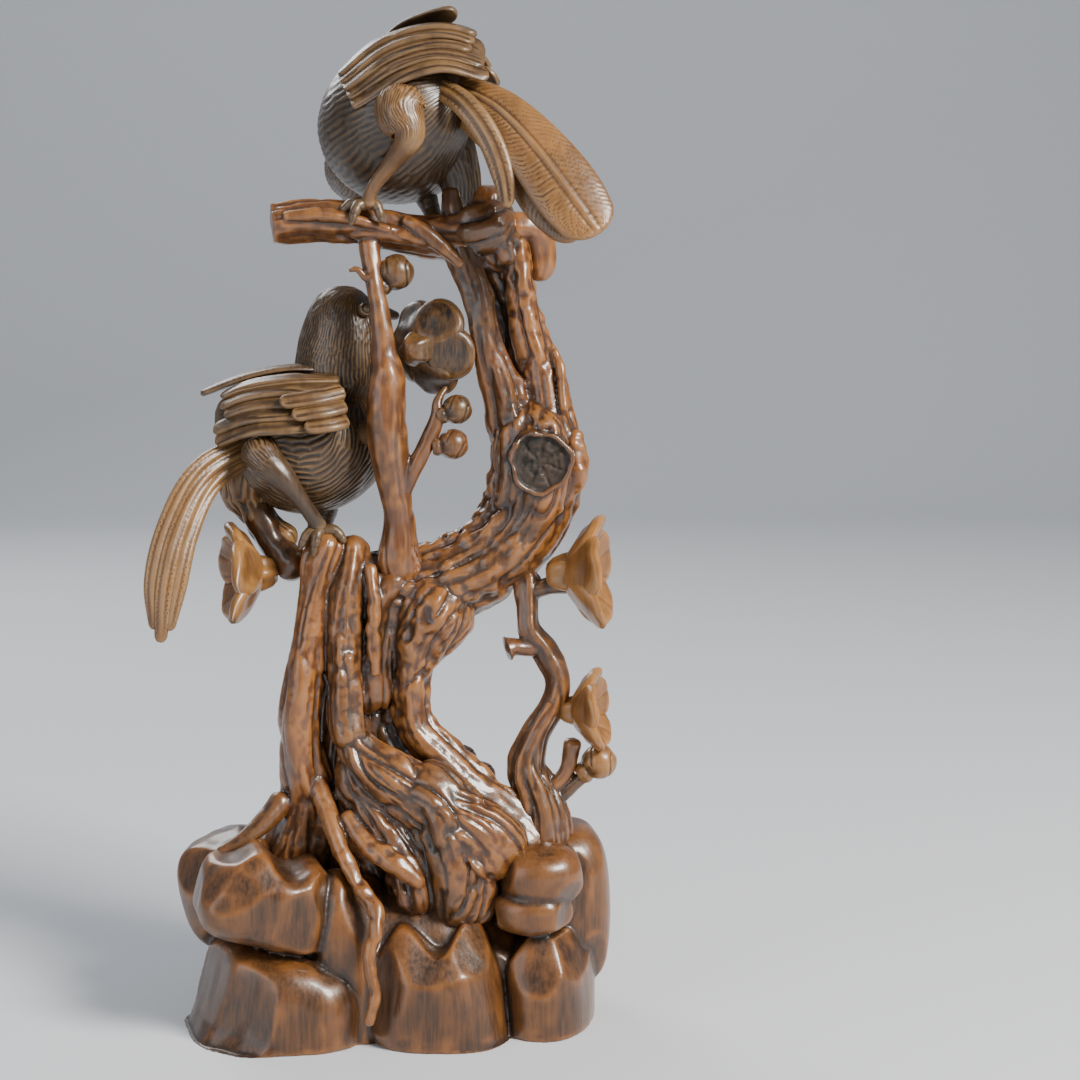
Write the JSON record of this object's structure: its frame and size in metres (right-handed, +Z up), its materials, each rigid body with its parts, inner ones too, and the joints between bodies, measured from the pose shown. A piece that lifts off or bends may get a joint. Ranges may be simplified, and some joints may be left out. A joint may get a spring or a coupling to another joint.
{
  "type": "carved bird and flower figurine",
  "caption": "Carved boxwood figurine of birds on an old plum tree with open blossoms, growing out of a rock with a flat underside.",
  "frame": {"origin": "middle of the rock's flat underside", "axes": "+Z up the tree, -Y towards the viewer, +X to the viewer's right"},
  "size_m": [0.0934, 0.0652, 0.2],
  "materials": {
    "stained_boxwood": "brown and orange stained boxwood, waxed and polished to a soft gloss, darker in the cuts"
  },
  "bodies": {
    "root": {"carving": "stained_boxwood"}
  },
  "joints": []
}
